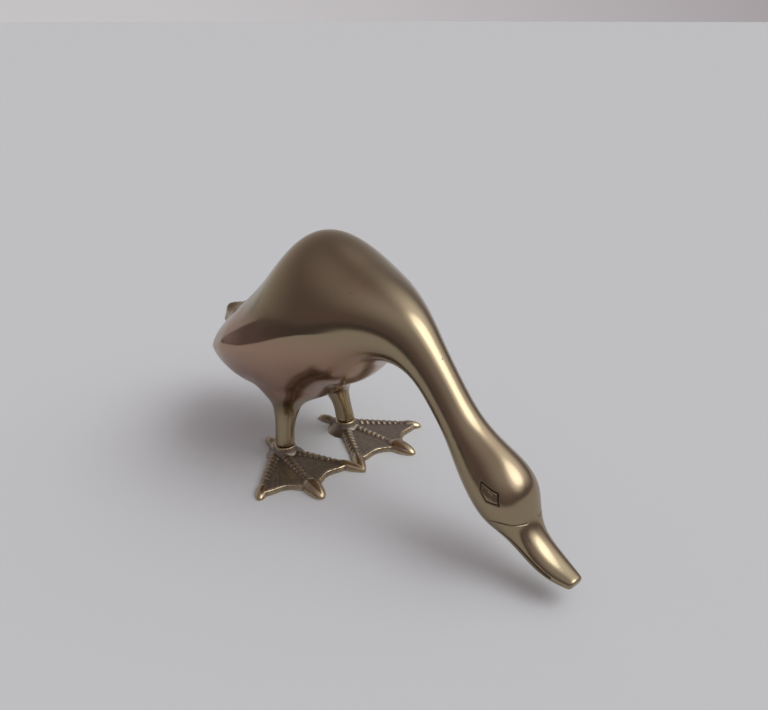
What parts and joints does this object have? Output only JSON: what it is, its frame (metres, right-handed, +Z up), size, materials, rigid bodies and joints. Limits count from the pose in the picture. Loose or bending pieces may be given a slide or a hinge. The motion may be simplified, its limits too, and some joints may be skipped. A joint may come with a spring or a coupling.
{
  "type": "duck figurine",
  "caption": "Cast brass duck on webbed feet, with its long neck bent down to feed: a shelf or desk ornament.",
  "frame": {"origin": "on the surface the duck stands on, on its median plane, under the middle of its overall length", "axes": "+X towards the bill, +Y to the duck's left, +Z up"},
  "size_m": [0.1598, 0.0726, 0.0803],
  "materials": {
    "body_brass": "cast, filed and satin polished, toned by age",
    "foot_brass": "cast, dark in the hollows and polished on the ridges",
    "pin_brass": "drawn rod, bright"
  },
  "bodies": {
    "root": {"body_left_half": "body_brass", "body_right_half": "body_brass", "left_foot": "foot_brass", "right_foot": "foot_brass", "left_ankle_pin": "pin_brass", "right_ankle_pin": "pin_brass"}
  },
  "joints": []
}
